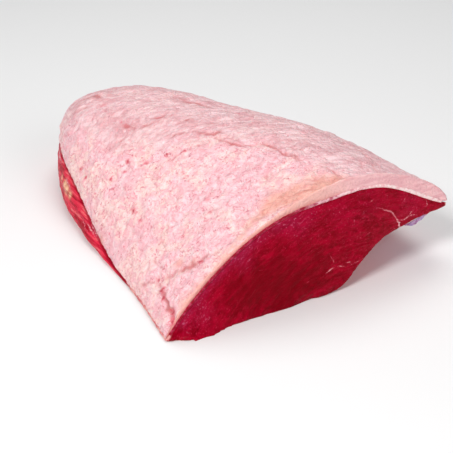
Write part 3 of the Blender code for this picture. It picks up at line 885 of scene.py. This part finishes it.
def fat_material():
    r = Recipe("raw_fat")
    membrane = r.mark("membrane")
    on_cut = r.mark("on_cut")
    bent = r.warped(9.0, 5.0)
    blotch = r.noise(13.0, 3.0, 0.55, warp=0.8)
    mottle = r.noise(4.6, 3.0, 0.58, warp=0.9)
    fleck = r.noise(2.1, 2.0, 0.6, warp=0.5)
    edge = r.cell_edges(3.6, bent)
    left = r.noise(2.8, 3.0, 0.60, r.drawn_out((4.0, 0.9, 1.0), STREAK_LEFT), 0.6)
    right = r.noise(3.2, 3.0, 0.60, r.drawn_out((4.5, 0.9, 1.0), STREAK_RIGHT), 0.6)
    streak = r.mix_values(r.mark("right_part"), left, right)
    broad = r.noise(22.0, 2.0, 0.5, warp=0.5)
    small = r.noise(2.2, 3.0, 0.6, warp=0.6)
    wormy = r.math("MULTIPLY", r.threads(9.0, 0.022), r.spread(r.noise(6.0, 2.0), 0.44, 0.58))
    dashes = r.math("MULTIPLY", r.threads(5.0, 0.035), r.spread(r.noise(4.0, 2.0), 0.54, 0.62))

    colour = r.mix(r.spread(broad, 0.42, 0.58), srgb(252, 213, 207), srgb(249, 202, 209))
    colour = r.mix(r.spread(blotch, 0.48, 0.64, 0.0, 0.80), colour, srgb(244, 189, 196))
    colour = r.mix(r.spread(blotch, 0.46, 0.34, 0.0, 0.60), colour, srgb(254, 220, 220))
    colour = r.mix(r.spread(mottle, 0.50, 0.62, 0.0, 0.80), colour, srgb(241, 177, 185))
    colour = r.mix(r.spread(mottle, 0.46, 0.34, 0.0, 0.62), colour, srgb(254, 226, 227))
    colour = r.mix(r.spread(small, 0.56, 0.68, 0.0, 0.45), colour, srgb(232, 150, 160))
    colour = r.mix(r.math("MULTIPLY", wormy, 0.8), colour, srgb(218, 116, 130))
    colour = r.mix(r.math("MULTIPLY", dashes, 0.8), colour, srgb(206, 98, 114))
    veil = r.mix(r.spread(streak, 0.36, 0.62), srgb(248, 213, 216), srgb(230, 180, 185))
    veil = r.mix(r.spread(blotch, 0.46, 0.64, 0.0, 0.80), veil, srgb(221, 161, 166))
    veil = r.mix(r.spread(mottle, 0.45, 0.32, 0.0, 0.50), veil, srgb(253, 224, 226))
    veil = r.mix(r.math("MULTIPLY", wormy, 0.5), veil, srgb(214, 128, 138))
    colour = r.mix(r.math("MULTIPLY", membrane, 0.80), colour, veil)
    colour = r.mix(r.spread(fleck, 0.67, 0.76, 0.0, 0.70), colour, srgb(212, 104, 120))
    peach = r.math("MULTIPLY", r.mark("peach"), r.spread(blotch, 0.30, 0.55, 0.7, 1.0))
    tinted = r.mix(r.spread(streak, 0.35, 0.65), srgb(241, 180, 164), srgb(222, 147, 134))
    colour = r.mix(r.math("MULTIPLY", peach, 0.92), colour, tinted)
    ring = r.noise(3.0, 3.0, 0.6, r.drawn_out((4.0, 1.0, 0.8)))
    band = r.mix(r.spread(ring, 0.36, 0.66), srgb(248, 196, 198), srgb(234, 172, 178))
    left_half = r.spread_along_x(r.split(r.place)[0], PEACH_BAND_X)
    inner = r.math("MULTIPLY", left_half, r.spread(r.mark("from_lean"), 5.0, 0.8, 0.0, 0.75))
    band = r.mix(r.math("MULTIPLY", left_half, 0.7), band, srgb(240, 182, 166))
    band = r.mix(inner, band, srgb(220, 126, 118))
    colour = r.mix(on_cut, colour, band)
    rim = r.math("MULTIPLY", r.spread(on_cut, 0.05, 0.40), r.spread(on_cut, 0.95, 0.60))
    rim_tint = r.mix(left_half, srgb(252, 218, 214), srgb(240, 178, 158))
    colour = r.mix(r.math("MULTIPLY", rim, 0.75), colour, rim_tint)
    red = r.math("MULTIPLY", r.mark("redness"), r.spread(mottle, 0.30, 0.55, 0.65, 1.15))
    colour = r.mix(r.spread(r.mark("pinkness"), 0.02, 0.70, 0.0, 0.90), colour, srgb(206, 122, 124))
    colour = r.mix(r.spread(r.mark("pinkness"), 0.78, 1.05, 0.0, 0.85), colour, srgb(212, 60, 80))
    colour = r.mix(r.spread(red, 0.05, 0.8, 0.0, 0.80), colour, srgb(222, 106, 120))
    colour = r.mix(r.spread(red, 0.65, 1.0, 0.0, 0.8), colour, srgb(184, 50, 66))
    r.feed(r.shader.inputs["Base Color"], colour)
    r.feed(r.shader.inputs["Roughness"], r.spread(mottle, 0.3, 0.7, 0.34, 0.56))
    r.shader.inputs["Specular IOR Level"].default_value = 0.35
    r.shader.inputs["Subsurface Weight"].default_value = 0.10
    r.shader.inputs["Subsurface Radius"].default_value = (1.0, 0.35, 0.25)
    r.shader.inputs["Subsurface Scale"].default_value = 2.0 * MM
    grainy = r.bump(small, 0.8, 0.45)
    lobed = r.bump(r.spread(edge, 0.0, 0.3), 0.7, 0.40, grainy)
    lined = r.bump(streak, 1.2, 0.38, lobed)
    domed = r.bump(mottle, 2.6, 0.7, lined)
    r.feed(domed.node.inputs["Strength"], r.spread(on_cut, 0.0, 1.0, 0.7, 0.15))
    r.feed(r.shader.inputs["Normal"], domed)
    return r.material


def lean_material():
    r = Recipe("raw_lean")
    on_cut = r.mark("on_cut")
    sheen_and_shade = r.mark("sheen_and_shade")
    bent_x, bent_y, bent_z = r.split(r.warped(16.0, 7.0))
    dx = r.math("SUBTRACT", bent_x, CUT_ARC[0] * MM)
    dz = r.math("SUBTRACT", bent_z, CUT_ARC[1] * MM)
    reach = r.math("SQRT", r.math("ADD", r.math("MULTIPLY", dx, dx), r.math("MULTIPLY", dz, dz)))
    turn = r.math("MULTIPLY", r.math("ARCTAN2", dz, dx), 0.045)
    arc = r.join(reach, turn, bent_y)
    fibre = r.noise(1.4, 4.0, 0.70, arc, 0.4)
    bundle = r.noise(4.5, 3.0, 0.6, arc, 0.5)
    blotch = r.noise(10.0, 3.0, 0.6, warp=0.5)
    grit = r.noise(1.5, 3.0, 0.65)
    flank_side = r.noise(2.6, 3.0, 0.60, r.drawn_out((1.0, 14.0, 1.0), 3.0), 0.1)
    end_side = r.noise(2.6, 3.0, 0.60, r.drawn_out((14.0, 1.0, 1.0)), 0.1)
    side = r.mix_values(r.mark("end_part"), flank_side, end_side)
    side_wide = r.noise(7.0, 3.0, 0.6, r.drawn_out((1.0, 3.0, 1.0), 4.0), 0.5)

    colour = r.mix(r.spread(blotch, 0.36, 0.64), srgb(134, 0, 20), srgb(158, 0, 32))
    # Painted light of the cut face: a magenta painted sheen and painted glints where the marks lie above
    # zero, and painted shade where they lie below, which also dims the lighter fibres and grit
    shine = r.math("ADD", sheen_and_shade, r.spread(bundle, 0.3, 0.7, -0.25, 0.25))
    painted_sheen = r.spread(shine, 0.0, 1.2)
    dark = r.spread(shine, 0.0, -1.1)
    colour = r.mix(r.math("MULTIPLY", painted_sheen, 0.60), colour, srgb(176, 14, 62))
    glint = r.math("MULTIPLY", painted_sheen, r.spread(r.noise(1.3, 2.0, 0.6), 0.62, 0.72))
    lit = r.math("SUBTRACT", 1.0, r.math("MULTIPLY", dark, 0.8))
    colour = r.mix(r.spread(bundle, 0.50, 0.70, 0.0, 0.45), colour, srgb(182, 6, 42))
    colour = r.mix(r.spread(bundle, 0.46, 0.30, 0.0, 0.35), colour, srgb(112, 0, 14))
    lit_fibre = r.math("MULTIPLY", lit, r.spread(fibre, 0.52, 0.72, 0.0, 0.60))
    colour = r.mix(lit_fibre, colour, srgb(196, 22, 60))
    colour = r.mix(r.spread(fibre, 0.46, 0.28, 0.0, 0.55), colour, srgb(98, 0, 12))
    lit_grit = r.math("MULTIPLY", lit, r.spread(grit, 0.58, 0.74, 0.0, 0.60))
    colour = r.mix(lit_grit, colour, srgb(204, 50, 84))
    colour = r.mix(r.spread(grit, 0.44, 0.28, 0.0, 0.45), colour, srgb(90, 0, 10))
    # Painted shade of the cut face, darkest in its lower middle
    colour = r.mix(r.math("MULTIPLY", dark, 0.70), colour, srgb(112, 0, 8))
    # Painted purple sheen along the fat at the left, streaked by the fibres, with painted glints on it
    sheen_streaks = r.math("MULTIPLY", r.mark("sheen"), r.spread(fibre, 0.30, 0.60, 0.35, 0.85))
    colour = r.mix(sheen_streaks, colour, srgb(156, 26, 64))
    sparkle = r.math("MULTIPLY", r.mark("sheen"), r.spread(fibre, 0.56, 0.66))
    sparkle = r.math("MULTIPLY", sparkle, r.spread(blotch, 0.45, 0.60, 0.2, 0.9))
    colour = r.mix(sparkle, colour, srgb(212, 120, 156))
    # Painted glints where the painted sheen is strong
    colour = r.mix(r.math("MULTIPLY", glint, 0.6), colour, srgb(222, 130, 164))
    flank = r.mix(r.spread(side, 0.38, 0.60), srgb(166, 2, 32), srgb(226, 50, 76))
    flank = r.mix(r.spread(side_wide, 0.46, 0.32, 0.0, 0.45), flank, srgb(156, 4, 32))
    flank = r.mix(r.spread(side, 0.60, 0.72, 0.0, 0.6), flank, srgb(238, 146, 142))
    cream = r.math("MULTIPLY", r.mark("cream"), r.spread(side, 0.38, 0.50, 0.45, 1.0))
    flank = r.mix(cream, flank, srgb(250, 212, 170))
    # Painted shade: the lean strip is darker just under the overhanging edge of the fat
    flank = r.mix(r.spread(r.mark("from_fat"), 2.2, 0.9, 0.0, 0.7), flank, srgb(140, 4, 30))
    colour = r.mix(r.math("SUBTRACT", 1.0, on_cut), colour, flank)
    colour = r.mix(r.mark("silverskin"), colour, srgb(204, 182, 214))
    rim = r.mix(r.spread(blotch, 0.35, 0.65), srgb(250, 190, 182), srgb(226, 138, 140))
    colour = r.mix(r.mark("fat_rim"), colour, rim)
    thread = r.math("MULTIPLY", r.mark("threads"), r.spread(grit, 0.30, 0.55, 0.55, 1.1))
    colour = r.mix(r.spread(thread, 0.04, 0.50, 0.0, 0.60), colour, srgb(198, 60, 86))
    colour = r.mix(r.spread(thread, 0.25, 0.90, 0.0, 0.90), colour, srgb(240, 188, 192))
    r.feed(r.shader.inputs["Base Color"], colour)
    r.feed(r.shader.inputs["Roughness"], r.spread(fibre, 0.3, 0.7, 0.50, 0.30))
    r.shader.inputs["Specular IOR Level"].default_value = 0.07
    r.shader.inputs["Specular Tint"].default_value = (1.0, 0.25, 0.40, 1.0)
    r.shader.inputs["Subsurface Weight"].default_value = 0.05
    r.shader.inputs["Subsurface Radius"].default_value = (1.0, 0.2, 0.15)
    r.shader.inputs["Subsurface Scale"].default_value = 2.0 * MM
    first = r.bump(fibre, 0.6, 0.7)
    r.feed(r.shader.inputs["Normal"], r.bump(grit, 0.25, 0.5, first))
    return r.material


def fascia_material():
    r = Recipe("white_fascia")
    cloud = r.noise(2.2, 3.0)
    ragged = r.math("ADD", r.split(r.place)[0], r.spread(r.noise(6.0, 1.0), 0.3, 0.7, -0.010, 0.010))
    pale = r.mix(r.spread(cloud, 0.36, 0.60), srgb(244, 186, 190), srgb(254, 228, 226))
    dark = r.mix(r.spread(cloud, 0.45, 0.66), srgb(150, 6, 38), srgb(186, 58, 88))
    lilac = r.mix(r.spread(cloud, 0.36, 0.62), srgb(206, 110, 130), srgb(243, 200, 206))
    colour = r.mix(r.spread_along_x(ragged, LILAC_X), dark, lilac)
    colour = r.mix(r.spread_along_x(ragged, PALE_X), colour, pale)
    r.feed(r.shader.inputs["Base Color"], colour)
    r.shader.inputs["Specular IOR Level"].default_value = 0.15
    r.feed(r.shader.inputs["Roughness"], r.spread(cloud, 0.3, 0.7, 0.35, 0.5))
    r.feed(r.shader.inputs["Normal"], r.bump(r.noise(0.8, 2.0), 0.15, 0.5))
    return r.material


def silverskin_material():
    r = Recipe("lilac_silverskin")
    cloud = r.noise(3.0, 3.0, 0.6, warp=0.5)
    colour = r.mix(r.spread(cloud, 0.38, 0.60), srgb(160, 132, 188), srgb(200, 156, 194))
    colour = r.mix(r.threads(4.0, 0.05), colour, srgb(150, 70, 120))
    r.feed(r.shader.inputs["Base Color"], colour)
    r.feed(r.shader.inputs["Roughness"], r.spread(cloud, 0.3, 0.7, 0.30, 0.45))
    r.feed(r.shader.inputs["Normal"], r.bump(r.noise(1.2, 2.0), 0.2, 0.5))
    return r.material


def floor_material():
    r = Recipe("pale_floor")
    r.shader.inputs["Base Color"].default_value = (FLOOR_TONE, FLOOR_TONE, FLOOR_TONE, 1.0)
    r.shader.inputs["Roughness"].default_value = 0.9
    return r.material


def make_floor():
    bpy.ops.mesh.primitive_plane_add(size=FLOOR_SIZE, location=(0, 0, 0))
    floor = bpy.context.view_layer.objects.active
    floor.name = "floor"
    floor.data.materials.append(floor_material())


def add_light(name, place, size, power):
    lamp = bpy.data.lights.new(name, "AREA")
    lamp.shape = "SQUARE"
    lamp.size = size
    lamp.energy = power
    light = bpy.data.objects.new(name, lamp)
    light.location = place
    light.rotation_euler = (Vector(LIGHT_AIM) - Vector(place)).to_track_quat("-Z", "Y").to_euler()
    bpy.context.scene.collection.objects.link(light)


def make_studio():
    make_floor()
    world = bpy.data.worlds.new("studio")
    world.use_nodes = True
    world.node_tree.nodes["Background"].inputs["Color"].default_value = (1, 1, 1, 1)
    world.node_tree.nodes["Background"].inputs["Strength"].default_value = WORLD_LIGHT
    bpy.context.scene.world = world
    for light in LIGHTS:
        add_light(*light)


def make_camera():
    data = bpy.data.cameras.new("camera")
    data.sensor_width = SENSOR
    data.lens = SENSOR * FOCAL_PIXELS / PICTURE
    camera = bpy.data.objects.new("camera", data)
    camera.location = camera_place()
    camera.rotation_euler = Euler((math.radians(90 - CAMERA_ELEVATION), 0, math.radians(CAMERA_AZIMUTH)))
    bpy.context.scene.collection.objects.link(camera)
    bpy.context.scene.camera = camera


def dress(piece, material, slot, *nodes):
    piece.data.materials.clear()
    piece.data.materials.append(material)
    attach(piece, "root")
    if nodes:
        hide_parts(*nodes)


def main():
    noise.seed_set(NOISE_SEED)
    bpy.context.scene.view_settings.view_transform = "Standard"
    make_camera()
    make_studio()
    fat_tree = surface_of(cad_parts["fat_cap"])
    lean_tree = surface_of(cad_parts["lean_meat"])
    fat = make_fat_cap(lean_tree)
    lean = make_lean_meat(fat_tree)
    fascia = make_fascia(lean_tree)
    dress(fat, fat_material(), "fat", "fat_cap")
    dress(lean, lean_material(), "lean", "lean_meat")
    dress(fascia, fascia_material(), "fat")
    dress(make_silverskin(), silverskin_material(), "fat")


main()
